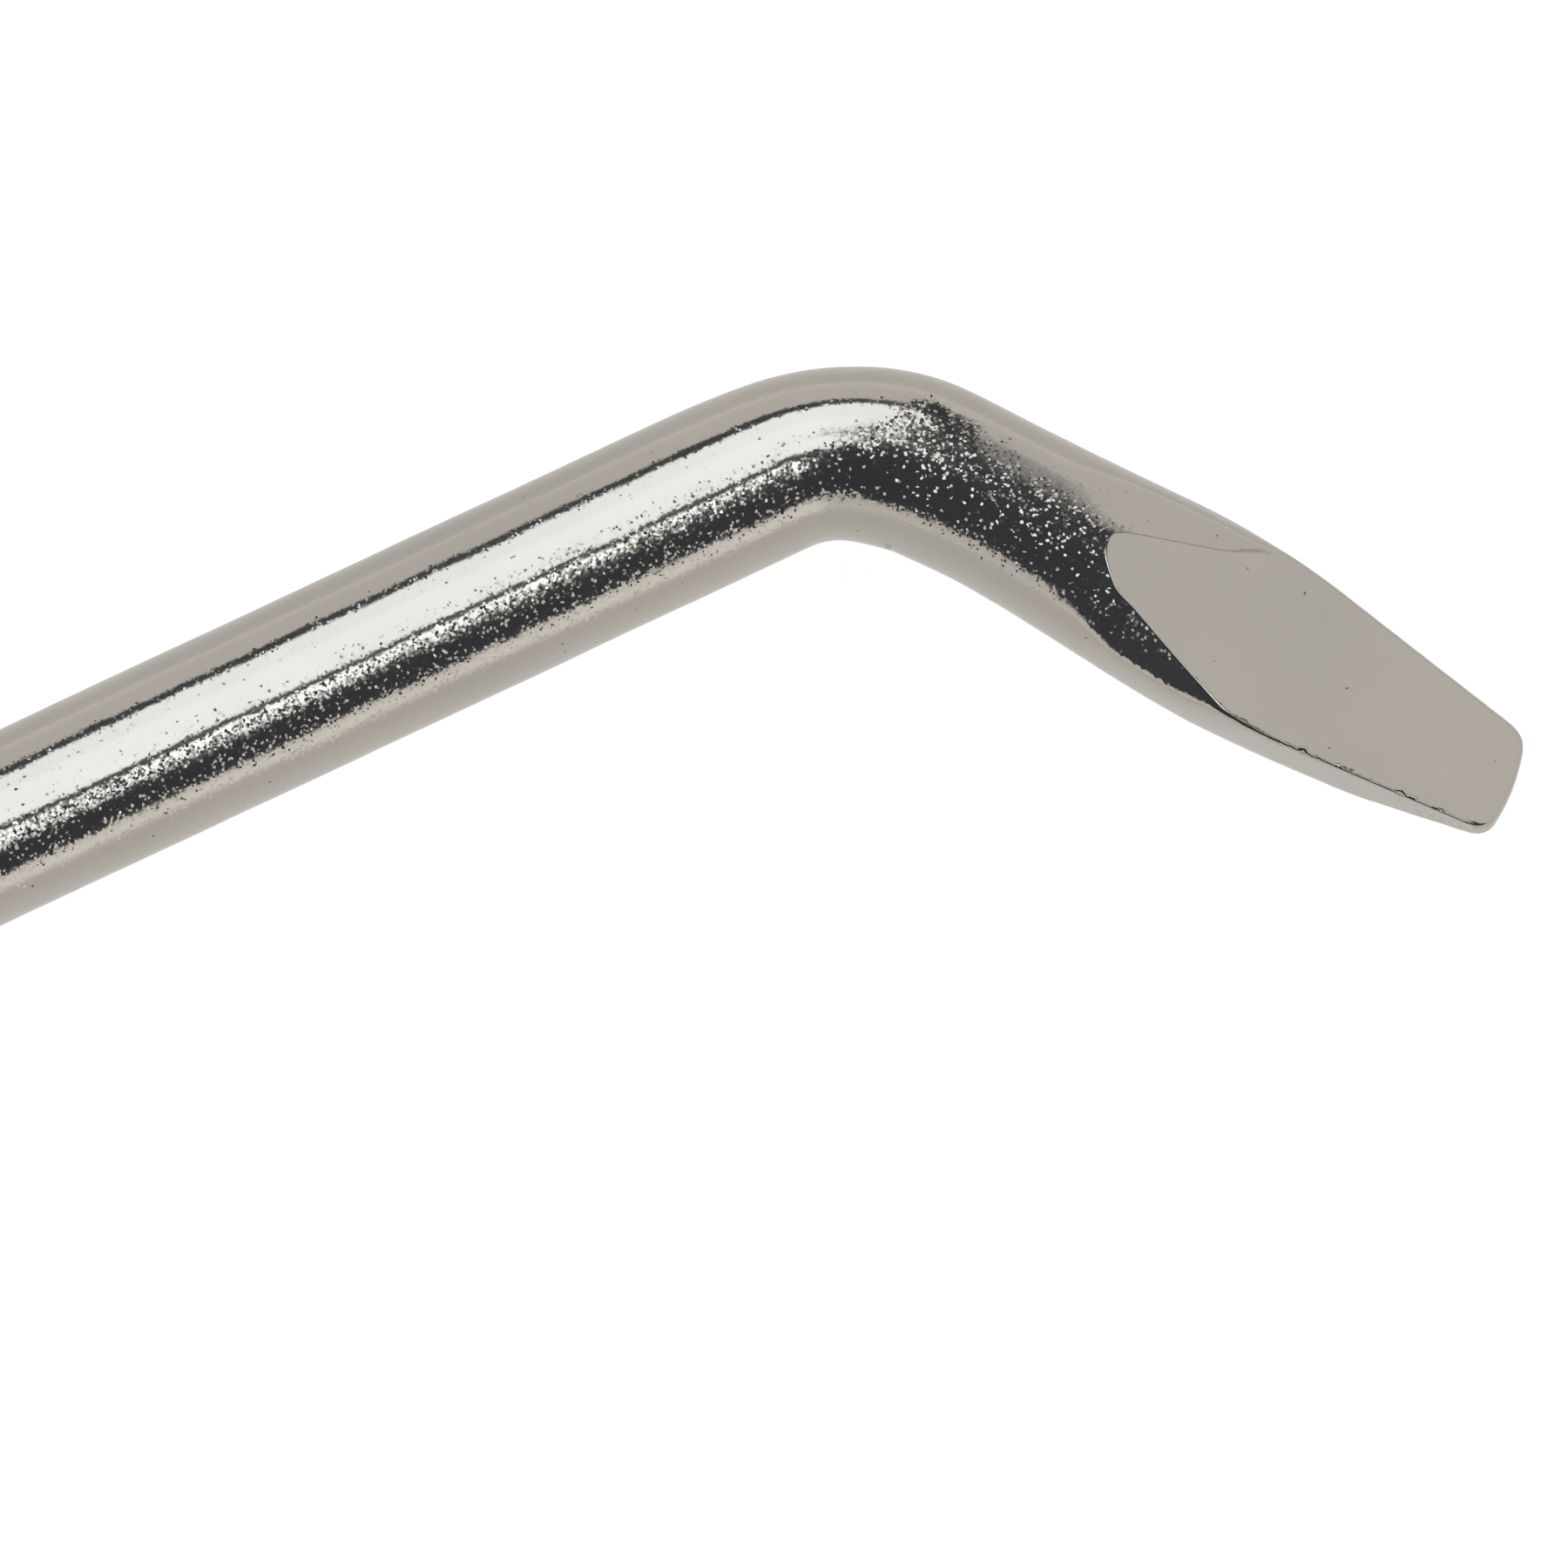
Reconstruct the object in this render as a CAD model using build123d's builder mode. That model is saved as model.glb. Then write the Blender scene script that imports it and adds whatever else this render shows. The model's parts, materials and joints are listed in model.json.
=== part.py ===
"""Folding wheel wrench with a bent hub-cap prying tip.

Frame: origin at the centre of the socket's mouth. +Y points out of the mouth, towards the wheel nut.
The bar runs along +X, a pivot reach below the mouth, and +Z is square to the plane of the bend.
All lengths are in millimetres. The wrench is drawn at its L working position.
"""

import os

from build123d import *

# Driving dimensions
bar_dia = 16.0
bar_reach = 330.0  # hinge pivot to the corner of the bend
bend_angle = 55.3
bend_radius = 15.5  # on the bar's centre line
pivot_reach = 110.0  # socket mouth to hinge pivot

# Prying tip, measured along the short leg from the corner of the bend
pry_length = 68.1
spread_start = 13.0  # where the round bar starts to widen
shoulder_at = 38.5  # widest place, where the blade starts to narrow
shoulder_width = 18.0
tip_outer_half = 4.8  # half width of the tip on the outside of the bend
tip_inner_half = 5.4  # and on the inside
tip_corner_radius = 1.5
top_facet_at = 26.4
top_facet_end_z = -0.5
back_facet_at = 38.0
tip_thick = 3.0

# Hinge
tongue_radius = 12.0
tongue_thick = 9.0
neck_width = 13.0
neck_fillet = 3.0
shoulder_gap = 0.3
shoulder_chamfer = 1.5
ear_radius = 13.0
ear_thick = 7.0
ear_edge_radius = 2.5
washer_thick = 0.8
washer_radius = 11.0
washer_gap = 0.1
rivet_dia = 10.0
running_clearance = 0.05
washer_bore_clearance = 0.15

# Rivet heads and the washer under the formed head
made_head_radius = 8.0
made_head_height = 3.2
formed_head_radius = 7.5
formed_head_height = 3.0
head_rim = 0.9  # straight side of each domed head
rivet_washer_radius = 10.0
rivet_washer_thick = 1.5

# Socket
socket_dia = 28.0
hex_across_flats = 19.0
hex_depth = 20.0
hex_lead_in = 1.0
stud_bore_dia = 17.0
stud_bore_end = 44.0
drill_point = 4.0
neck_dia = 18.0
socket_straight = 27.0
taper_end = 52.0
rim_chamfer = 1.0

# Detent
ball_dia = 6.0
ball_travel = 1.1
ball_gap = 0.05  # between the ball and the tongue's rim
pocket_clearance = 0.1
root_clearance = 0.7  # between the tongue's rim and the bottom of the fork's slot
pocket_depth = 19.3
notch_gap = 0.1
spring_wire = 0.9
spring_mean_dia = 4.5
spring_turns = 7.2
spring_end_gap = 0.05

# Worked-out sizes
bar_radius = bar_dia / 2
shoulder_x = ear_radius + shoulder_gap
slot_width = tongue_thick + 2 * (washer_gap + washer_thick)
fork_thick = slot_width + 2 * ear_thick
slot_bottom = tongue_radius + root_clearance
ball_centre = tongue_radius + ball_gap + ball_dia / 2
notch_radius = ball_dia / 2 + notch_gap
notch_centre = ball_centre - ball_travel

pivot = Vector(0, -pivot_reach, 0)
pivot_axis = Axis(pivot, (0, 0, 1))
pivot_plane = Plane(origin=pivot)
pivot_side = Plane.XZ.offset(pivot_reach)  # through the pivot, its x is X and its y is Z
corner = pivot + Vector(bar_reach, 0, 0)
pry_direction = Vector(1, 0, 0).rotate(Axis.Z, -bend_angle)
across = pry_direction.rotate(Axis.Z, 90)
leg_section = Plane(origin=corner, x_dir=across, z_dir=pry_direction)
leg_side = Plane(origin=corner, x_dir=pry_direction, z_dir=-across)  # its y is Z
leg_top = Plane(origin=corner, x_dir=pry_direction)

os.makedirs("parts", exist_ok=True)

# The bar: long leg, bend, short leg forged flat at its end, and the hinge tongue
bar_start = pivot + Vector(shoulder_x, 0, 0)
with BuildPart() as pry_bar:
    with BuildLine() as centre_line:
        FilletPolyline(
            bar_start,
            corner,
            corner + pry_direction * spread_start,
            radius=bend_radius,
        )
    with BuildSketch(Plane(origin=bar_start, z_dir=(1, 0, 0))):
        Circle(bar_radius)
    sweep(path=centre_line.line)
    chamfer(pry_bar.faces().sort_by(Axis.X)[0].edges(), length=shoulder_chamfer)

    # The leg swells from round to oval, as hot bar does when its end is flattened
    with BuildSketch(leg_section.offset(spread_start)):
        Circle(bar_radius)
    with BuildSketch(leg_section.offset(shoulder_at)):
        Ellipse(shoulder_width / 2, bar_radius)
    loft()
    with BuildSketch(leg_section.offset(shoulder_at)):
        Ellipse(shoulder_width / 2, bar_radius)
    extrude(amount=pry_length - shoulder_at)

    # The chisel's long top facet and its short back facet
    with BuildSketch(leg_side):
        Polygon(
            (top_facet_at, bar_radius),
            (pry_length, top_facet_end_z),
            (pry_length, bar_radius),
            align=None,
        )
        Polygon(
            (back_facet_at, -bar_radius),
            (pry_length, top_facet_end_z - tip_thick),
            (pry_length, -bar_radius),
            align=None,
        )
    extrude(amount=shoulder_width, both=True, mode=Mode.SUBTRACT)

    # The blade narrows towards its tip on both sides
    with BuildSketch(leg_top):
        for side, tip_half in ((1, tip_outer_half), (-1, tip_inner_half)):
            Polygon(
                (shoulder_at, side * shoulder_width / 2),
                (pry_length, side * tip_half),
                (pry_length, side * shoulder_width / 2),
                align=None,
            )
    extrude(amount=bar_dia, both=True, mode=Mode.SUBTRACT)
    tip_end = pry_bar.faces().sort_by(Axis(corner, pry_direction))[-1]
    fillet(tip_end.edges().filter_by(Axis.Z), radius=tip_corner_radius)

    # The hinge tongue, with a notch for the ball at each working position
    with BuildSketch(pivot_plane):
        with Locations((shoulder_x / 2 + shoulder_chamfer, 0)):
            Rectangle(shoulder_x + 2 * shoulder_chamfer, neck_width)
        Circle(tongue_radius)
        throat = vertices().filter_by_position(Axis.X, bar_radius, shoulder_x)
        fillet(throat, radius=neck_fillet)
    extrude(amount=tongue_thick / 2, both=True)
    with BuildSketch(pivot_plane):
        with PolarLocations(notch_centre, 3, start_angle=90, angular_range=270):
            Circle(notch_radius)
        Circle(rivet_dia / 2 + running_clearance)
    extrude(amount=tongue_thick, both=True, mode=Mode.SUBTRACT)

# The head: fork, neck and socket in one forging
with BuildPart() as socket_shaft:
    # Fork ears, rounded about the pivot
    root_start = slot_bottom + ear_edge_radius
    with BuildSketch(pivot_plane):
        Circle(ear_radius)
        with Locations((0, root_start / 2)):
            Rectangle(2 * ear_radius, root_start)
    extrude(amount=fork_thick / 2, both=True)
    outline = edges().filter_by(Plane.XY)
    fillet(outline - outline.group_by(Axis.Y)[-1], radius=ear_edge_radius)

    # The fork's root draws down to the round neck
    root_at = pivot_reach - root_start
    with BuildSketch(Plane.XZ.offset(root_at)):
        RectangleRounded(2 * ear_radius, fork_thick, ear_edge_radius)
    with BuildSketch(Plane.XZ.offset(root_at - 20)):
        Circle(neck_dia / 2)
    loft()

    # Neck and socket, turned about Y
    with BuildSketch() as turned:
        Polygon(
            (0, -root_at + 20),
            (neck_dia / 2, -root_at + 20),
            (neck_dia / 2, -taper_end),
            (socket_dia / 2, -socket_straight),
            (socket_dia / 2, 0),
            (0, 0),
            align=None,
        )
        bends = turned.vertices().filter_by_position(Axis.Y, -taper_end, -socket_straight)
        fillet(bends, radius=8)
        chamfer(turned.vertices().group_by(Axis.Y)[-1].sort_by(Axis.X)[-1], length=rim_chamfer)
    revolve(axis=Axis.Y)

    # Stud clearance bore with its drill point, then the hex and its lead-in
    with BuildSketch():
        Polygon(
            (0, 0),
            (stud_bore_dia / 2, 0),
            (stud_bore_dia / 2, -stud_bore_end),
            (0, -stud_bore_end - drill_point),
            align=None,
        )
        hex_corner = hex_across_flats / 3**0.5
        Polygon(
            (0, 0),
            (hex_corner + hex_lead_in / 2, 0),
            (hex_corner - hex_lead_in / 2, -hex_lead_in),
            (0, -hex_lead_in),
            align=None,
        )
    revolve(axis=Axis.Y, mode=Mode.SUBTRACT)
    with BuildSketch(Plane.XZ):
        RegularPolygon(hex_across_flats / 2, 6, major_radius=False, rotation=30)
    extrude(amount=hex_depth, mode=Mode.SUBTRACT)

    # The slot for the tongue, the rivet's holes and the ball's pocket
    with BuildSketch(pivot_side.offset(-slot_bottom)):
        Rectangle(3 * ear_radius, slot_width)
    extrude(amount=slot_bottom + 2 * ear_radius, mode=Mode.SUBTRACT)
    with BuildSketch(pivot_plane):
        Circle(rivet_dia / 2)
    extrude(amount=fork_thick, both=True, mode=Mode.SUBTRACT)
    with BuildSketch(pivot_side.offset(-slot_bottom)):
        Circle(ball_dia / 2 + pocket_clearance)
    extrude(amount=-pocket_depth, mode=Mode.SUBTRACT)

# The rivet: a made head above, a formed head below the washer
top_z = fork_thick / 2
under_z = -fork_thick / 2 - rivet_washer_thick
made_crown = made_head_height - head_rim
formed_crown = formed_head_height - head_rim
with BuildPart() as pivot_rivet:
    with BuildSketch(pivot_side):
        with BuildLine():
            made_dome = RadiusArc(
                (0, top_z + made_head_height),
                (made_head_radius, top_z + head_rim),
                (made_head_radius**2 + made_crown**2) / (2 * made_crown),
            )
            formed_dome = RadiusArc(
                (formed_head_radius, under_z - head_rim),
                (0, under_z - formed_head_height),
                (formed_head_radius**2 + formed_crown**2) / (2 * formed_crown),
            )
            Polyline(
                made_dome @ 1,
                (made_head_radius, top_z),
                (rivet_dia / 2, top_z),
                (rivet_dia / 2, under_z),
                (formed_head_radius, under_z),
                formed_dome @ 0,
            )
            Line(formed_dome @ 1, made_dome @ 0)
        make_face()
    revolve(axis=pivot_axis)

with BuildPart() as rivet_washer:
    with BuildSketch(pivot_plane.offset(under_z)):
        Circle(rivet_washer_radius)
        Circle(rivet_dia / 2, mode=Mode.SUBTRACT)
    extrude(amount=rivet_washer_thick)

with BuildPart() as thrust_washer_upper:
    with BuildSketch(pivot_plane.offset(slot_width / 2 - washer_thick)):
        Circle(washer_radius)
        Circle(rivet_dia / 2 + washer_bore_clearance, mode=Mode.SUBTRACT)
    extrude(amount=washer_thick)

with BuildPart() as thrust_washer_lower:
    with BuildSketch(pivot_plane.offset(-slot_width / 2)):
        Circle(washer_radius)
        Circle(rivet_dia / 2 + washer_bore_clearance, mode=Mode.SUBTRACT)
    extrude(amount=washer_thick)

# The detent: a ball on a compression spring, in the fork's root
with BuildPart() as detent_ball:
    with Locations(pivot + Vector(0, ball_centre, 0)):
        Sphere(ball_dia / 2)

coil_start = ball_centre + ((ball_dia + spring_wire) ** 2 - spring_mean_dia**2) ** 0.5 / 2 + spring_end_gap
coil_end = slot_bottom + pocket_depth - spring_wire / 2 - spring_end_gap
with BuildPart() as detent_spring:
    with BuildLine() as coil:
        Helix(
            pitch=(coil_end - coil_start) / spring_turns,
            height=coil_end - coil_start,
            radius=spring_mean_dia / 2,
            center=pivot + Vector(0, coil_start, 0),
            direction=(0, 1, 0),
        )
    with BuildSketch(Plane(origin=coil.line @ 0, z_dir=coil.line % 0)):
        Circle(spring_wire / 2)
    sweep(path=coil.line, is_frenet=True)

pieces = {
    "pry_bar": pry_bar,
    "socket_shaft": socket_shaft,
    "pivot_rivet": pivot_rivet,
    "rivet_washer": rivet_washer,
    "thrust_washer_upper": thrust_washer_upper,
    "thrust_washer_lower": thrust_washer_lower,
    "detent_ball": detent_ball,
    "detent_spring": detent_spring,
}
for name, piece in pieces.items():
    piece.part.label = name
    export_step(piece.part, f"parts/{name}.step")
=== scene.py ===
"""Looks of the folding lug wrench: forged shapes, nickel plate, studio light and camera."""

import json
import math

import bmesh
import bpy
import numpy as np
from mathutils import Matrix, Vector


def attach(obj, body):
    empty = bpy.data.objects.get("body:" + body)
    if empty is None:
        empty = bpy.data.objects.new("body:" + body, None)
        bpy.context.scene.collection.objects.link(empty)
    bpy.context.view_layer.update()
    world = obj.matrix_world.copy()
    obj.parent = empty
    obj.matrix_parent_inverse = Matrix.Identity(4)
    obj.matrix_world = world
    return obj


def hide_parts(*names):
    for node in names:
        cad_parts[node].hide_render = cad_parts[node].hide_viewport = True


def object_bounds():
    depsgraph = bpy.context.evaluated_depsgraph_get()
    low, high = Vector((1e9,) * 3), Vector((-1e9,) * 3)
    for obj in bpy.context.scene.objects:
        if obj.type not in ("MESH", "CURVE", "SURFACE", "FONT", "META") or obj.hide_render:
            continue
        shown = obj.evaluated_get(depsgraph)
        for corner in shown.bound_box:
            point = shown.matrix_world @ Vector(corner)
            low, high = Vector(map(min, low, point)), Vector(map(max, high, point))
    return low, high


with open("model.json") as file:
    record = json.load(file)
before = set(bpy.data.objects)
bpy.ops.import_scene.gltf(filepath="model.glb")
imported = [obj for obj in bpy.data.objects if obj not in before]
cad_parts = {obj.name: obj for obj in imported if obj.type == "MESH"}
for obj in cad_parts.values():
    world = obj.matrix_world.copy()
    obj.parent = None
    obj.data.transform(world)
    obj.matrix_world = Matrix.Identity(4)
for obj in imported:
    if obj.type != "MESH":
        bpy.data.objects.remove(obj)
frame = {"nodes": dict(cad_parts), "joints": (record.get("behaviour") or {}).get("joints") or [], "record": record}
cad_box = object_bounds()
MM = 0.001
GRAIN = "grain"
record = frame["record"]
mounts = {mount["name"]: mount for mount in record["mounts"]}
joints = {joint["name"]: joint for joint in frame["joints"]}

# ---------------------------------------------------------------- places and sizes, in millimetres


def in_mm(values):
    return np.array(values, float) / MM


PIVOT = in_mm(joints["head_fold"]["pos_m"])
TIP = in_mm(mounts["pry_tip"]["pos_m"])
BLADE_AXIS = np.array(mounts["pry_tip"]["axis"], float)

# The bar and its short leg, with places along the leg measured from the bend's corner
BAR_RADIUS = 8.0
BEND_RADIUS = 15.5
PRY_LENGTH = 68.1
SPREAD_FROM = 9.0
SHOULDER_AT = 38.5
SHOULDER_HALF = 8.95
OUTER_HALF = 8.5
OUTER_NARROWING = 0.125
INNER_SPREAD_FROM = 14.0
INNER_SPREAD_END = 40.0
INNER_SHOULDER_AT = 41.4
INNER_NARROWING = 0.148
TIP_THICK = 3.0
TOP_FACET_AT = 26.4
BACK_FACET_AT = 38.0
END_BOW = 34.0
END_BOW_SIDE = -2.5

# What bending and pressing did to the bar's section
BEND_THINNING = 0.6
BEND_THINNING_AT = -2.0
BEND_THINNING_REACH = 7.0
BEND_SWELLING = 0.35
BEND_SWELLING_AT = 3.0
BEND_SWELLING_REACH = 5.0
INNER_THINNING = 0.35
INNER_THINNING_FROM = 6.0
INNER_THINNING_END = 16.0
INNER_FULLNESS = 0.8
INNER_FULLNESS_FROM = 25.0
INNER_FULLNESS_END = 38.0
FLANK_TILT = math.radians(28.0)
FLANK_CUT = 0.41
FLANK_CLEAR = 0.35
FLANK_FROM = 17.0
FLANK_END = 27.0
INNER_FLANK_TILT = math.radians(40.0)
INNER_FLANK_FROM = 24.0
INNER_FLANK_RISE = 0.07
INNER_FLANK_RISE_FROM = 31.0

# Hinge
TONGUE_RADIUS = 12.0
TONGUE_HALF = 4.5
NECK_HALF = 6.5
BAR_FROM = 13.3
NOTCH_CENTRE = 13.95
NOTCH_RADIUS = 3.15
RIVET_RADIUS = 5.0
RUNNING_CLEARANCE = 0.05
WASHER_THICK = 1.5
WASHER_RADIUS = 10.0
MADE_HEAD_RADIUS = 8.0
MADE_HEAD_HEIGHT = 3.2
FORMED_HEAD_RADIUS = 7.5
FORMED_HEAD_HEIGHT = 3.0
HEAD_RIM = 0.9

# Socket and fork
SOCKET_RADIUS = 14.0
SOCKET_STRAIGHT = 27.0
TAPER_END = 52.0
NECK_RADIUS = 9.0
HEX_HALF = 9.5
HEX_DEPTH = 20.0
STUD_RADIUS = mounts["stud_bore"]["dims"]["r_mm"]
STUD_END = 44.0
EAR_RADIUS = 13.0
FORK_HALF = 12.4
FORK_EDGE = 2.5
SLOT_HALF = 5.4
SLOT_BOTTOM = 12.7
ROOT_FROM = 15.2
ROOT_LENGTH = 20.0
POCKET_RADIUS = 3.1
POCKET_END = 32.0
DRILL_POINT_SLOPE = 0.47

# Meshes
BAR_VOXEL = 0.63
SHAFT_VOXEL = 0.5
RIVET_VOXEL = 0.25
WASHER_VOXEL = 0.3
EDGE_BANDS = (0.64, 0.4, 0.2)
PLAIN_GRAIN = 0.25

PIVOT_BACK = -PIVOT[1]
corner = TIP - PRY_LENGTH * BLADE_AXIS
corner[2] = PIVOT[2]
turn = math.atan2(-BLADE_AXIS[1], BLADE_AXIS[0])
across = np.array([math.sin(turn), math.cos(turn), 0.0])
tangent_length = BEND_RADIUS * math.tan(turn / 2)
bend_centre = corner - np.array([tangent_length, BEND_RADIUS, 0.0])

# ---------------------------------------------------------------- distance fields


def soft_max(a, b, width):
    """The larger of two distances, rounded over a width where they meet."""
    h = np.clip(0.5 + 0.5 * (a - b) / width, 0, 1)
    return a * h + b * (1 - h) + width * h * (1 - h)


def soft_min(a, b, width):
    """The smaller of two distances, rounded over a width where they meet."""
    return -soft_max(-a, -b, width)


def smooth_step(x, low, high):
    """0 below low, 1 above high, with a smooth ramp between."""
    t = np.clip((x - low) / (high - low), 0, 1)
    return t * t * (3 - 2 * t)


def ripple(points, wavelength, seed, waves=14):
    """Smooth random unevenness, about -1 to 1, from a few sine waves."""
    rng = np.random.default_rng(seed)
    directions = rng.normal(size=(waves, 3))
    directions /= np.linalg.norm(directions, axis=1)[:, None]
    lengths = wavelength * rng.uniform(0.7, 1.6, waves)
    phases = rng.uniform(0, 2 * math.pi, waves)
    angles = points @ (directions / lengths[:, None]).T * 2 * math.pi + phases
    return np.sin(angles).sum(1) * math.sqrt(2 / waves) / 2


def along_bar(points):
    """Each point's place along the bar past the bend's corner, across the bar, and up."""
    p = points - corner
    on_leg = p[:, :2] @ BLADE_AXIS[:2]
    leg_side = p[:, :2] @ across[:2]
    from_centre = points - bend_centre
    angle = np.arctan2(from_centre[:, 0], from_centre[:, 1])
    reach = np.hypot(from_centre[:, 0], from_centre[:, 1])
    in_bend = (angle > 0) & (angle < turn) & (reach > 1.0)
    past = (angle >= turn) & (on_leg > 0) | (p[:, 0] > 0) & ~in_bend
    travel = np.where(past, on_leg, np.where(in_bend, (angle - turn / 2) * BEND_RADIUS, p[:, 0]))
    side = np.where(past, leg_side, np.where(in_bend, reach - BEND_RADIUS, p[:, 1]))
    return travel, side, p[:, 2]


def bar_section(points, travel, side, up):
    """The bar before its blade is cut: round, then oval, with what bending and pressing did to it."""
    spread = SHOULDER_HALF - BAR_RADIUS
    thinning = BEND_THINNING * np.exp(-(((travel - BEND_THINNING_AT) / BEND_THINNING_REACH) ** 2))
    outer_half = BAR_RADIUS + spread * smooth_step(travel, SPREAD_FROM, SHOULDER_AT) - thinning
    swelling = BEND_SWELLING * np.exp(-(((travel - BEND_SWELLING_AT) / BEND_SWELLING_REACH) ** 2))
    drawn_in = INNER_THINNING * smooth_step(travel, INNER_THINNING_FROM, INNER_THINNING_END) - swelling
    inner_spread = (spread + INNER_THINNING) * smooth_step(travel, INNER_SPREAD_FROM, INNER_SPREAD_END)
    inner_half = BAR_RADIUS - drawn_in + inner_spread
    half_width = np.where(side > 0, outer_half, inner_half)
    filling = smooth_step(travel, INNER_FULLNESS_FROM, INNER_FULLNESS_END)
    fullness = 2 + INNER_FULLNESS * filling * ((side < 0) & (up > 0))
    wide, tall = np.abs(side) / half_width, np.abs(up) / BAR_RADIUS
    oval = ((wide**fullness + tall**fullness) ** (1 / fullness) - 1) * BAR_RADIUS
    bar = oval + 0.035 * (ripple(points, 16.0, 3) - 0.6) + 0.012 * (ripple(points, 5.0, 4) - 0.6)

    # Flats beside the top facet: pressed in on the outer side, standing out on the inner side
    cut = (FLANK_CUT + FLANK_CLEAR) * smooth_step(travel, FLANK_FROM, FLANK_END) - FLANK_CLEAR
    flank = side * math.sin(FLANK_TILT) + up * math.cos(FLANK_TILT) - BAR_RADIUS + cut
    bar = soft_max(bar, flank, 0.25)
    rise = INNER_FLANK_RISE * np.maximum(travel - INNER_FLANK_RISE_FROM, 0)
    reach = BAR_RADIUS + 0.05 + rise + 0.5 * (travel < INNER_FLANK_FROM)
    inner_flank = up * math.cos(INNER_FLANK_TILT) - side * math.sin(INNER_FLANK_TILT) - reach
    return soft_max(bar, inner_flank, 0.15)


def blade_fields(points):
    """The bar's outline without its facets, the two facets, and each point's place along and across."""
    travel, side, up = along_bar(points)

    # A long top facet and a shorter back facet
    top_end = TIP[2] + TIP_THICK / 2
    back_end = TIP[2] - TIP_THICK / 2
    top_slope = (BAR_RADIUS - top_end) / (PRY_LENGTH - TOP_FACET_AT)
    back_slope = (BAR_RADIUS + back_end) / (PRY_LENGTH - BACK_FACET_AT)
    top = (up - BAR_RADIUS + top_slope * (travel - TOP_FACET_AT)) / math.hypot(1, top_slope)
    back = (-up - BAR_RADIUS + back_slope * (travel - BACK_FACET_AT)) / math.hypot(1, back_slope)

    # Two sides that draw in, and a slightly bowed end
    outer_edge = side - OUTER_HALF + OUTER_NARROWING * (travel - SHOULDER_AT)
    inner_edge = -side - SHOULDER_HALF + INNER_NARROWING * (travel - INNER_SHOULDER_AT)
    edge = np.where(side > 0, outer_edge, inner_edge)
    end = travel - PRY_LENGTH + (side - END_BOW_SIDE) ** 2 / END_BOW
    outline = soft_max(bar_section(points, travel, side, up), soft_max(edge, end, 1.6), 0.8)
    return outline, top + 0.02 * ripple(points, 9.0, 5) + 0.02, back + 0.02, travel, side


def bar_distance(points):
    """The plain round bar with its bend, the flattened blade and the hinge tongue."""
    blade, top, back, travel, side = blade_fields(points)

    # The top facet's edge is crisp where it starts, and worn round on the outer side of the blade
    past_shoulder = smooth_step(travel, SHOULDER_AT - 4, SHOULDER_AT + 5)
    inner_edge = 0.05 + 0.35 * smooth_step(travel, SHOULDER_AT - 3, SHOULDER_AT + 6)
    inner_edge = inner_edge - 0.2 * smooth_step(travel, SHOULDER_AT + 4, PRY_LENGTH)
    outer_edge = 0.07 + 2.1 * past_shoulder
    top_edge = inner_edge + (outer_edge - inner_edge) * smooth_step(side, -1.0, 3.0)
    top_edge = top_edge + (0.6 - top_edge) * smooth_step(travel, PRY_LENGTH - 3, PRY_LENGTH)
    blade = soft_max(blade, top, top_edge)
    blade = soft_max(blade, back, 1.2)

    # Hinge end: the bar's rounded shoulder, the flat neck and the round tongue
    p = points - PIVOT
    radius = np.hypot(p[:, 0], p[:, 1])
    body = soft_max(blade, BAR_FROM - p[:, 0], 1.8)
    neck = np.maximum(np.abs(p[:, 1]) - NECK_HALF, np.maximum(-p[:, 0], p[:, 0] - BAR_FROM - 4))
    plan = soft_min(radius - TONGUE_RADIUS, neck, 3.0)
    for quarter in (1, 2, 3):
        at = NOTCH_CENTRE * np.array([math.cos(quarter * math.pi / 2), math.sin(quarter * math.pi / 2)])
        notch = NOTCH_RADIUS - np.hypot(p[:, 0] - at[0], p[:, 1] - at[1])
        plan = soft_max(plan, notch, 0.5)
    plan = soft_max(plan, RIVET_RADIUS + RUNNING_CLEARANCE - radius, 0.1)
    tongue = soft_max(plan, np.abs(p[:, 2]) - TONGUE_HALF, 0.7)
    return soft_min(body, tongue, 0.8)


def blade_edges(points, band):
    """Marks the vertices close to the facets' edges."""
    outline, top, back, travel, _ = blade_fields(points)
    near_top = np.abs(outline - top) < band
    near_back = np.abs(outline - back) < band
    return (travel > TOP_FACET_AT - 4) & (near_top | near_back)


def bar_grain(points):
    """How grainy the bar is: most on its inner side and past the bend, least on the top facet."""
    outline, top, _, travel, side = blade_fields(points)

    # The grainy band's outer limit moves outwards through the bend
    bend_end = np.exp(-(((travel - 7.0) / 5.0) ** 2))
    limit = -2.7 + smooth_step(travel, -8.0, 0.0) + 3.9 * smooth_step(travel, 0.0, 6.0) + 2.0 * bend_end
    band = smooth_step(limit - side, -0.6, 0.6) * smooth_step(side, -7.2, -5.2)
    pressed = smooth_step(top - outline, -0.12, 0.0)
    return (0.2 + 0.8 * band) * (1 - 0.97 * pressed)


def hexagon_distance(x, z):
    """The hex socket's outline, with its corners slightly rounded."""
    flats = [np.abs(x * math.cos(a) + z * math.sin(a)) for a in (0, math.pi / 3, 2 * math.pi / 3)]
    return soft_max(soft_max(flats[0], flats[1], 0.5), flats[2], 0.5) - HEX_HALF


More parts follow.
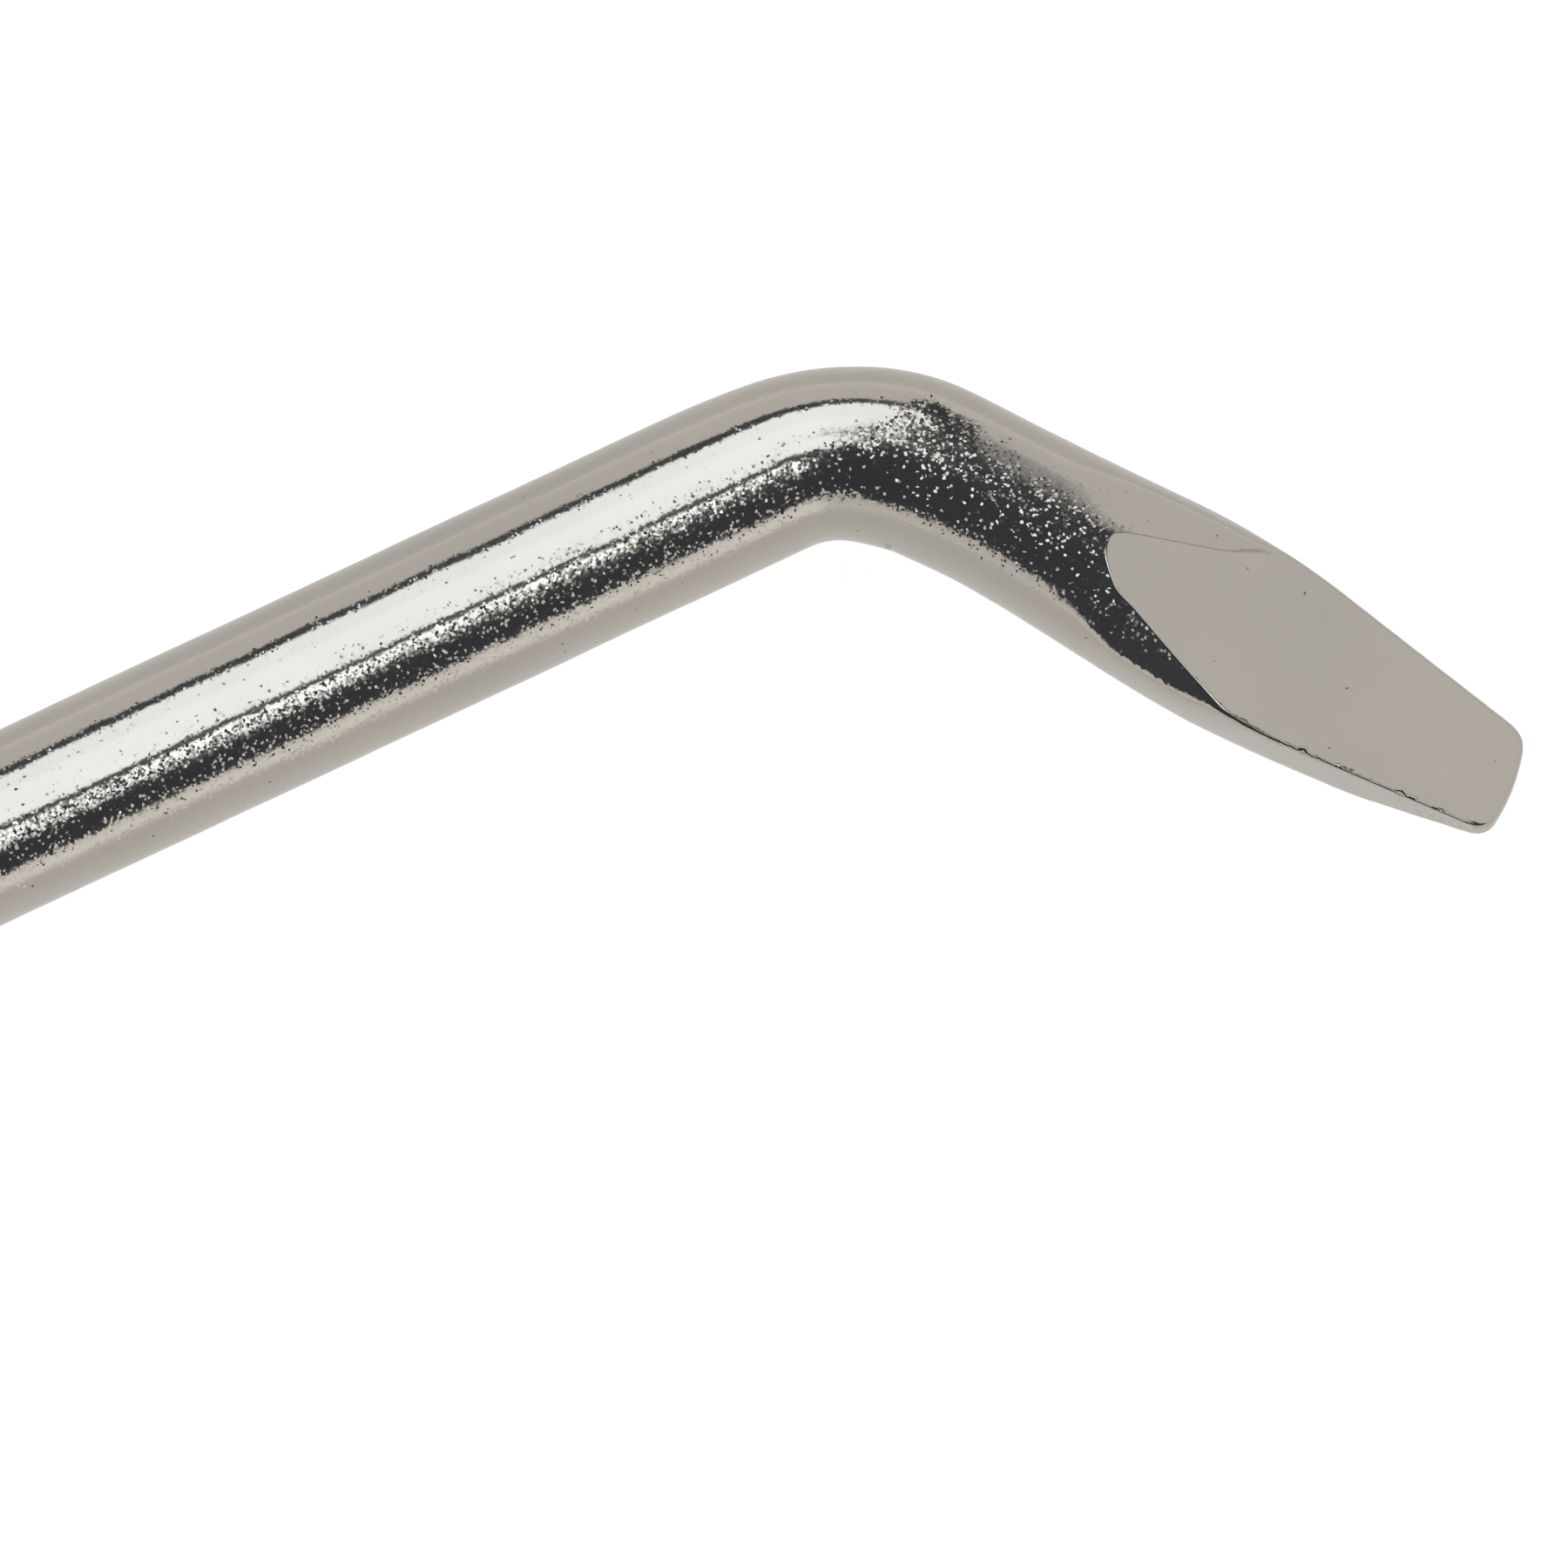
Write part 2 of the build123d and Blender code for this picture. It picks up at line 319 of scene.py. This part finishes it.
def shaft_distance(points):
    """The forged head: socket, neck and fork, with everything that is cut into it."""
    x, z = points[:, 0], points[:, 2]
    back = -points[:, 1]
    radius = np.hypot(x, z)

    # Socket and neck, turned about Y
    slope = (SOCKET_RADIUS - NECK_RADIUS) / (TAPER_END - SOCKET_STRAIGHT)
    cone = SOCKET_RADIUS - slope * (back - SOCKET_STRAIGHT)
    profile = soft_max(soft_min(cone, np.full_like(cone, SOCKET_RADIUS), 2.2), NECK_RADIUS + 0 * cone, 3.0)
    turned = soft_max((radius - profile) * 0.98, -back, 1.3)
    turned = soft_max(turned, back - (PIVOT_BACK - ROOT_FROM - 6), 1.0)

    # Fork: round neck to rounded rectangle, then the stadium that ends about the pivot
    blend = smooth_step(back, PIVOT_BACK - ROOT_FROM - ROOT_LENGTH, PIVOT_BACK - ROOT_FROM)
    half_x = NECK_RADIUS + (EAR_RADIUS - NECK_RADIUS) * blend
    half_z = NECK_RADIUS + (FORK_HALF - NECK_RADIUS) * blend
    edge = NECK_RADIUS + (FORK_EDGE - NECK_RADIUS) * blend
    past_pivot = np.maximum(back - PIVOT_BACK, 0)
    q_x = np.hypot(x, past_pivot) - half_x + edge
    q_z = np.abs(z) - half_z + edge
    fork = np.hypot(np.maximum(q_x, 0), np.maximum(q_z, 0)) + np.minimum(np.maximum(q_x, q_z), 0) - edge
    fork = soft_max(fork * 0.95, PIVOT_BACK - ROOT_FROM - ROOT_LENGTH - back, 0.5)
    shell = np.minimum(turned, fork)
    shell = shell + 0.03 * (ripple(points, 14.0, 11) + 1.2) * smooth_step(back, 2.0, 8.0)

    # Slot for the tongue, rivet hole and ball pocket
    slot = soft_max(np.abs(z) - SLOT_HALF, PIVOT_BACK - SLOT_BOTTOM - back, 1.0)
    shell = soft_max(shell, -slot, 0.9)
    from_pivot = np.hypot(x, points[:, 1] - PIVOT[1])
    shell = soft_max(shell, RIVET_RADIUS - from_pivot, 0.3)
    pocket = np.maximum(radius - POCKET_RADIUS, PIVOT_BACK - POCKET_END - back)
    shell = soft_max(shell, -pocket, 0.3)

    # Hex, its lead-in, and the stud bore with its drill point
    hexagon = np.maximum(hexagon_distance(x, z), back - HEX_DEPTH)
    lead_in = (radius + back - HEX_HALF * 2 / math.sqrt(3) - 0.5) * math.sqrt(0.5)
    bore_end = back - STUD_END + (radius - STUD_RADIUS) * DRILL_POINT_SLOPE
    bore = np.maximum(radius - STUD_RADIUS, bore_end * 0.9)
    hollow = soft_min(soft_min(hexagon, lead_in, 0.4), bore, 0.4)
    return soft_max(shell, -hollow, 0.5)


def shaft_grain(points):
    """How grainy the head is: most round its neck, less where the socket and the ears are ground."""
    back = -points[:, 1]
    neck = smooth_step(back, 8.0, 30.0) * (1 - smooth_step(back, PIVOT_BACK - 34, PIVOT_BACK - 16))
    return PLAIN_GRAIN + 0.4 * neck


def head_dome(z, radius, base, height, head_radius):
    """A rivet head: a low dome on a short straight rim."""
    crown = height - HEAD_RIM
    ball = (head_radius**2 + crown**2) / (2 * crown)
    dome = np.hypot(radius, z - (base + height - ball)) - ball
    return soft_max(soft_max(dome, radius - head_radius, 0.7), base - z, 0.3)


def rivet_distance(points):
    """The rivet: a smooth made head on top and an uneven formed head below."""
    p = points - PIVOT
    radius = np.hypot(p[:, 0], p[:, 1])
    under = FORK_HALF + WASHER_THICK
    made = head_dome(p[:, 2], radius, FORK_HALF, MADE_HEAD_HEIGHT, MADE_HEAD_RADIUS)
    formed = head_dome(-p[:, 2], radius, under, FORMED_HEAD_HEIGHT, FORMED_HEAD_RADIUS)
    formed = formed + 0.05 * (ripple(points, 4.0, 21) + 1) * smooth_step(-p[:, 2], under + 0.6, under + 1.5)
    shank = np.maximum(radius - RIVET_RADIUS, np.abs(p[:, 2]) - under)
    return np.minimum(np.minimum(made, formed), shank)


def washer_distance(points):
    """The hardened washer between the lower ear and the rivet's formed head."""
    p = points - PIVOT
    radius = np.hypot(p[:, 0], p[:, 1])
    flat = np.maximum(-FORK_HALF - WASHER_THICK - p[:, 2], p[:, 2] + FORK_HALF)
    return soft_max(soft_max(radius - WASHER_RADIUS, flat, 0.35), RIVET_RADIUS - radius, 0.35)


# ---------------------------------------------------------------- meshes from distance fields


CORNERS = np.array([(1, 1, 1), (1, -1, -1), (-1, 1, -1), (-1, -1, 1)], float)


def gradient(distance, points, step=0.02):
    """Unit normals of the field, from its values at a small tetrahedron's corners."""
    slope = sum(distance(points + step * way)[:, None] * way for way in CORNERS)
    return slope / np.maximum(np.linalg.norm(slope, axis=1), 1e-9)[:, None]


def relax(points, edges, normals):
    """Evens out the spacing of the vertices, along the surface only."""
    total = np.zeros_like(points)
    count = np.bincount(edges.ravel(), minlength=len(points))[:, None]
    for axis in range(3):
        for a, b in ((0, 1), (1, 0)):
            total[:, axis] += np.bincount(edges[:, a], points[edges[:, b], axis], len(points))
    move = (total / np.maximum(count, 1) - points) * 0.6
    return points + move - (move * normals).sum(1)[:, None] * normals


def read_points(mesh):
    values = np.empty(len(mesh.vertices) * 3)
    mesh.vertices.foreach_get("co", values)
    return values.reshape(-1, 3)


def read_edges(mesh):
    values = np.empty(len(mesh.edges) * 2, int)
    mesh.edges.foreach_get("vertices", values)
    return values.reshape(-1, 2)


def settle(mesh, distance, rounds):
    """Moves a mesh's vertices onto the field's surface, evenly spaced."""
    points, edges = read_points(mesh), read_edges(mesh)
    for _ in range(rounds):
        normals = gradient(distance, points)
        points = relax(points, edges, normals)
        points -= np.clip(distance(points), -0.5, 0.5)[:, None] * normals
    for _ in range(2):
        points -= np.clip(distance(points), -0.5, 0.5)[:, None] * gradient(distance, points)
    mesh.vertices.foreach_set("co", points.ravel())
    return points


def refine(mesh, chosen):
    """Halves the edges whose two ends are both chosen, and drops the vertices left with two edges."""
    fine = bmesh.new()
    fine.from_mesh(mesh)
    fine.verts.ensure_lookup_table()
    picked = [edge for edge in fine.edges if chosen[edge.verts[0].index] and chosen[edge.verts[1].index]]
    bmesh.ops.subdivide_edges(fine, edges=picked, cuts=1, use_grid_fill=True)
    pinched = [vertex for vertex in fine.verts if len(vertex.link_edges) == 2]
    bmesh.ops.dissolve_verts(fine, verts=pinched)
    fine.to_mesh(mesh)
    fine.free()


def rebuild(node, distance, voxel, edges=None, grain=None):
    """A fine mesh of the field's surface, grown from the CAD node's solid, finer near any edges given."""
    mesh = frame["nodes"][node].data.copy()
    mesh.vertices.foreach_set("co", (read_points(mesh) / MM).ravel())
    mesh.materials.clear()
    piece = bpy.data.objects.new(f"{node}_forged", mesh)
    bpy.context.scene.collection.objects.link(piece)
    remesh = piece.modifiers.new("voxels", "REMESH")
    remesh.mode = "VOXEL"
    remesh.voxel_size = voxel
    remesh.adaptivity = 0.0
    fine = bpy.data.meshes.new_from_object(piece.evaluated_get(bpy.context.evaluated_depsgraph_get()))
    fine.name = piece.name
    piece.modifiers.clear()
    piece.data = fine
    points = settle(fine, distance, 8)
    if edges:
        for band in EDGE_BANDS:
            refine(fine, edges(points, band))
            points = settle(fine, distance, 3)
    normals = gradient(distance, points)
    grains = grain(points) if grain else np.full(len(points), PLAIN_GRAIN)
    fine.attributes.new(GRAIN, "FLOAT", "POINT").data.foreach_set("value", grains)
    fine.vertices.foreach_set("co", (points * MM).ravel())
    fine.update()
    fine.shade_smooth()
    fine.normals_split_custom_set_from_vertices(normals)
    body = next(b for b, members in record["behaviour"]["bodies"].items() if node in members)
    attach(piece, body)
    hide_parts(node)
    return piece


# ---------------------------------------------------------------- materials


TARNISH = 0.12
PIT_SHADE = 0.35


def node_maker(material):
    """Two shorthands: one adds a node with its settings, the other links two sockets."""
    tree = material.node_tree

    def make(kind, **settings):
        made = tree.nodes.new(kind)
        for key, value in settings.items():
            if key in made.inputs:
                made.inputs[key].default_value = value
            else:
                setattr(made, key, value)
        return made

    return make, tree.links.new


def glinting_normal(make, link, place, grain, flake_tilt):
    """The surface's normal, leaned over in small grains: each its own way, a few of them steeply."""
    cells = make("ShaderNodeTexVoronoi", Scale=4300.0, Randomness=1.0)
    link(place, cells.inputs["Vector"])
    lean = make("ShaderNodeVectorMath", operation="MULTIPLY_ADD")
    lean.inputs[1].default_value = (2, 2, 2)
    lean.inputs[2].default_value = (-1, -1, -1)
    link(cells.outputs["Color"], lean.inputs[0])
    size = make("ShaderNodeVectorMath", operation="DOT_PRODUCT")
    link(lean.outputs["Vector"], size.inputs[0])
    link(lean.outputs["Vector"], size.inputs[1])
    rare = make("ShaderNodeMath", operation="POWER")
    rare.inputs[1].default_value = 2.5
    link(size.outputs["Value"], rare.inputs[0])
    strength = make("ShaderNodeMath", operation="MULTIPLY")
    link(rare.outputs["Value"], strength.inputs[0])
    link(grain, strength.inputs[1])
    tilt = make("ShaderNodeMath", operation="MULTIPLY")
    tilt.inputs[1].default_value = flake_tilt
    link(strength.outputs["Value"], tilt.inputs[0])
    tilted = make("ShaderNodeVectorMath", operation="SCALE")
    link(lean.outputs["Vector"], tilted.inputs[0])
    link(tilt.outputs["Value"], tilted.inputs["Scale"])
    smooth = make("ShaderNodeNewGeometry")
    leaning = make("ShaderNodeVectorMath", operation="ADD")
    link(smooth.outputs["Normal"], leaning.inputs[0])
    link(tilted.outputs["Vector"], leaning.inputs[1])
    glint = make("ShaderNodeVectorMath", operation="NORMALIZE")
    link(leaning.outputs["Vector"], glint.inputs[0])
    return glint.outputs["Vector"]


def orange_peel(make, link, place, grain, normal, pit_depth):
    """Bumps: faint everywhere, rougher where the surface is still as blasted."""
    peel = make("ShaderNodeTexNoise", Scale=1400.0, Detail=1.0, Roughness=0.5)
    link(place, peel.inputs["Vector"])
    coarse_peel = make("ShaderNodeMath", operation="MULTIPLY_ADD")
    coarse_peel.inputs[1].default_value = 0.3
    coarse_peel.inputs[2].default_value = 0.3
    link(grain, coarse_peel.inputs[0])
    height = make("ShaderNodeMath", operation="MULTIPLY")
    link(peel.outputs["Fac"], height.inputs[0])
    link(coarse_peel.outputs["Value"], height.inputs[1])
    bump = make("ShaderNodeBump", Strength=1.0, Distance=pit_depth)
    link(height.outputs["Value"], bump.inputs["Height"])
    link(normal, bump.inputs["Normal"])
    return bump.outputs["Normal"]


def tarnished_colour(make, link, place, cloud, colour):
    """The plate's colour, duller where it has tarnished and dark in a few pits."""
    tarnished = [part * (1 - TARNISH) * tint for part, tint in zip(colour, (0.98, 1.0, 1.0))]
    dull = make("ShaderNodeMix", data_type="RGBA")
    dull.inputs["A"].default_value = (*colour, 1)
    dull.inputs["B"].default_value = (*tarnished, 1)
    link(cloud, dull.inputs["Factor"])
    specks = make("ShaderNodeTexNoise", Scale=1300.0, Detail=1.0, Roughness=0.5)
    link(place, specks.inputs["Vector"])
    pits = make("ShaderNodeMapRange", interpolation_type="SMOOTHSTEP")
    pits.inputs["From Min"].default_value = 0.82
    pits.inputs["From Max"].default_value = 0.77
    link(specks.outputs["Fac"], pits.inputs["Value"])
    pitted = make("ShaderNodeMix", data_type="RGBA")
    pitted.inputs["A"].default_value = (*[part * PIT_SHADE for part in colour], 1)
    link(pits.outputs["Result"], pitted.inputs["Factor"])
    link(dull.outputs["Result"], pitted.inputs["B"])
    return pitted.outputs["Result"]


def plated_metal(name, colour, roughness, pit_depth, flake_tilt=0.0):
    """Bright metal over blasted steel: fine pitting, glinting grains and a light tarnish."""
    material = bpy.data.materials.new(name)
    material.use_nodes = True
    make, link = node_maker(material)
    shader = material.node_tree.nodes["Principled BSDF"]
    shader.inputs["Metallic"].default_value = 1.0
    place = make("ShaderNodeTexCoord").outputs["Object"]
    grain = make("ShaderNodeAttribute", attribute_name=GRAIN).outputs["Fac"]
    normal = glinting_normal(make, link, place, grain, flake_tilt)
    link(orange_peel(make, link, place, grain, normal, pit_depth), shader.inputs["Normal"])
    cloud = make("ShaderNodeTexNoise", Scale=60.0, Detail=4.0, Roughness=0.6)
    link(place, cloud.inputs["Vector"])
    link(tarnished_colour(make, link, place, cloud.outputs["Fac"], colour), shader.inputs["Base Color"])
    rough = make("ShaderNodeMapRange")
    rough.inputs["To Min"].default_value = roughness * 0.8
    rough.inputs["To Max"].default_value = roughness * 1.25
    link(cloud.outputs["Fac"], rough.inputs["Value"])
    link(rough.outputs["Result"], shader.inputs["Roughness"])
    return material


def dress(piece, material):
    """Gives a piece one material in place of any it has."""
    piece.data.materials.clear()
    piece.data.materials.append(material)


# ---------------------------------------------------------------- studio


def panel(name, height, outline, radiance, colour=(1, 1, 1)):
    """A glowing panel over the bend; its outline is in units of its height."""
    mesh = bpy.data.meshes.new(name)
    places = [STUDIO_CENTRE + height * Vector((x, y, 1)) for x, y in outline]
    mesh.from_pydata(places, [], [range(len(places))])
    card = bpy.data.objects.new(name, mesh)
    bpy.context.scene.collection.objects.link(card)
    card.visible_camera = False
    card.visible_shadow = False
    card.visible_diffuse = height > 0.5
    material = bpy.data.materials.new(name)
    material.use_nodes = True
    shader = material.node_tree.nodes["Principled BSDF"]
    shader.inputs["Base Color"].default_value = (0, 0, 0, 1)
    shader.inputs["Specular IOR Level"].default_value = 0.0
    shader.inputs["Emission Color"].default_value = (*colour, 1)
    shader.inputs["Emission Strength"].default_value = radiance
    dress(card, material)


def studio_world():
    """Light walls and sweep all round, with a glow in front, under a dark ceiling."""
    world = bpy.data.worlds.new("studio")
    bpy.context.scene.world = world
    world.use_nodes = True
    tree = world.node_tree
    link = tree.links.new
    direction = tree.nodes.new("ShaderNodeTexCoord").outputs["Generated"]

    def along(axis):
        made = tree.nodes.new("ShaderNodeVectorMath")
        made.operation = "DOT_PRODUCT"
        made.inputs[1].default_value = axis
        link(direction, made.inputs[0])
        return made.outputs["Value"]

    def step(value, low, high, low_out=0.0, high_out=1.0):
        made = tree.nodes.new("ShaderNodeMapRange")
        made.interpolation_type = "SMOOTHSTEP"
        made.inputs["From Min"].default_value = low
        made.inputs["From Max"].default_value = high
        made.inputs["To Min"].default_value = low_out
        made.inputs["To Max"].default_value = high_out
        link(value, made.inputs["Value"])
        return made.outputs["Result"]

    def maths(operation, a, b):
        made = tree.nodes.new("ShaderNodeMath")
        made.operation = operation
        for value, socket in zip((a, b), made.inputs):
            if isinstance(value, float):
                socket.default_value = value
            else:
                link(value, socket)
        return made.outputs["Value"]

    # Walls and sweep by height, from straight down to straight up
    walls = tree.nodes.new("ShaderNodeValToRGB")
    levels = walls.color_ramp.elements
    levels.remove(levels[1])
    for place, shade in ((0.0, 0.68), (0.25, 0.6), (0.42, 0.62), (0.5, 0.74), (0.62, 0.66)):
        level = levels.new(place) if place > 0 else levels[0]
        level.color = (shade, shade, shade, 1)
    link(step(along((0, 0, 1)), -1.0, 1.0), walls.inputs["Fac"])
    window = maths("MULTIPLY", step(along((0.12, -0.99, 0)), 0.9, 1.0), 0.2)
    window = maths("MULTIPLY", window, step(along((0, 0, 1)), -0.25, -0.02))
    lit_walls = tree.nodes.new("ShaderNodeMix")
    lit_walls.data_type = "RGBA"
    lit_walls.blend_type = "ADD"
    lit_walls.inputs["Factor"].default_value = 1.0
    link(walls.outputs["Color"], lit_walls.inputs["A"])
    link(window, lit_walls.inputs["B"])

    # Ceiling: dark, with a light patch towards the right
    lean = maths("MAXIMUM", along((across[0], across[1], -0.5)), 0.0)
    patch = maths("MULTIPLY", maths("SQRT", lean, 0.0), 0.55)
    patch = maths("MULTIPLY", patch, step(along((0.707, -0.707, 0)), -0.05, 0.01))
    ceiling = tree.nodes.new("ShaderNodeMix")
    ceiling.data_type = "RGBA"
    ceiling.blend_type = "ADD"
    ceiling.inputs["Factor"].default_value = 1.0
    ceiling.inputs["A"].default_value = (0.048, 0.053, 0.064, 1)
    link(patch, ceiling.inputs["B"])
    over = step(along((0, 0, 1)), 0.2, 0.3)
    front = step(along((0.15, 0.98, -1.56)), -0.01, 0.03, 1.0, 0.0)
    shade = tree.nodes.new("ShaderNodeMix")
    shade.data_type = "RGBA"
    link(maths("MULTIPLY", over, front), shade.inputs["Factor"])
    link(lit_walls.outputs["Result"], shade.inputs["A"])
    link(ceiling.outputs["Result"], shade.inputs["B"])
    link(shade.outputs["Result"], tree.nodes["Background"].inputs["Color"])


def floor():
    """A pale sweep under the wrench, which the metal doesn't mirror."""
    size, low = 3.0, cad_box[0][2]
    mesh = bpy.data.meshes.new("floor")
    x, y = STUDIO_CENTRE.x, STUDIO_CENTRE.y
    quarters = ((-1, -1), (1, -1), (1, 1), (-1, 1))
    places = [(x + size * right, y + size * away, low) for right, away in quarters]
    mesh.from_pydata(places, [], [(0, 1, 2, 3)])
    table = bpy.data.objects.new("floor", mesh)
    bpy.context.scene.collection.objects.link(table)
    material = bpy.data.materials.new("light_table")
    material.use_nodes = True
    shader = material.node_tree.nodes["Principled BSDF"]
    shader.inputs["Base Color"].default_value = (0.8, 0.8, 0.8, 1)
    shader.inputs["Roughness"].default_value = 0.9
    shader.inputs["Specular IOR Level"].default_value = 0.0
    shader.inputs["Emission Color"].default_value = (1, 1, 1, 1)
    shader.inputs["Emission Strength"].default_value = 0.76
    dress(table, material)
    table.visible_glossy = False


def camera():
    """A long lens at the product view's angle: the bar rises to the bend, the tip points down."""
    azimuth, elevation = math.radians(-26.0), math.radians(74.0)
    frame_width, distance, sensor = 140.8, 3.0, 36.0
    level = math.cos(elevation)
    back = Vector((math.sin(azimuth) * level, -math.cos(azimuth) * level, math.sin(elevation)))
    aim = corner + np.array([-20.2, -27.2, 0.0])
    lens = bpy.data.cameras.new("camera")
    lens.sensor_width = sensor
    lens.lens = sensor * distance / (frame_width * MM)
    eye = bpy.data.objects.new("camera", lens)
    eye.location = Vector(aim * MM) + back * distance
    eye.rotation_euler = (math.pi / 2 - elevation, 0, azimuth)
    bpy.context.scene.collection.objects.link(eye)
    bpy.context.scene.camera = eye


# ---------------------------------------------------------------- the wrench

STUDIO_CENTRE = Vector(corner * MM)
bpy.context.scene.view_settings.view_transform = "Standard"
camera()
studio_world()
floor()

WHITE = (0.93, 1.0, 1.06)
BLUE_GREY = (0.95, 1.06, 1.28)
panel(
    "key_softbox",
    4.0,
    [(0.03, 0.44), (0.2, 0.42), (0.48, 0.61), (0.85, 0.97), (0.85, 1.12), (-0.05, 1.06)],
    1.38,
    WHITE,
)
panel(
    "inner_strip",
    4.0,
    [(-0.05, -0.08), (-0.02, -0.23), (0.16, -0.23), (0.16, 0.06), (0.03, 0.06)],
    1.5,
    WHITE,
)
panel(
    "front_strip",
    1.0,
    [(0.02, -0.36), (0.02, -0.97), (0.05, -0.87), (0.13, -0.48), (0.17, -0.36)],
    2.0,
    WHITE,
)
panel(
    "side_card",
    4.0,
    [(0.26, -0.6), (0.32, -0.8), (1.3, -3), (3.5, -3), (3.5, 2), (0.55, 0.3), (0.27, 0.14)],
    0.68,
)
panel(
    "left_card",
    4.0,
    [(-0.33, 0.22), (-2.6, -0.6), (-2.6, 0.4), (-0.6, 0.9)],
    1.5,
    WHITE,
)
panel(
    "near_strip",
    0.068,
    [(-5.5, 0.03), (0.005, 0.03), (0.21, 0.255), (0.37, 0.45), (-5.5, 0.45)],
    1.45,
    WHITE,
)
panel(
    "bend_flag",
    0.03,
    [(0.45, 0.2), (0.59, 0.06), (2.77, 2.15), (2.38, 2.56), (1.03, 1.08), (0.96, 0.73)],
    0.05,
    BLUE_GREY,
)

NICKEL = (0.66, 0.61, 0.54)
bar = rebuild("pry_bar", bar_distance, BAR_VOXEL, edges=blade_edges, grain=bar_grain)
shaft = rebuild("socket_shaft", shaft_distance, SHAFT_VOXEL, grain=shaft_grain)
rivet = rebuild("pivot_rivet", rivet_distance, RIVET_VOXEL)
washer = rebuild("rivet_washer", washer_distance, WASHER_VOXEL)
nickel = plated_metal("nickel_plate", NICKEL, 0.11, 2.2e-5, flake_tilt=0.043)
for piece in (bar, shaft, rivet):
    dress(piece, nickel)
dress(washer, plated_metal("zinc_plate", (0.6, 0.6, 0.6), 0.3, 3e-6))
steel = plated_metal("bare_steel", (0.42, 0.41, 0.4), 0.28, 2e-6)
for node in ("thrust_washer_upper", "thrust_washer_lower", "detent_spring", "detent_ball"):
    dress(frame["nodes"][node], steel)
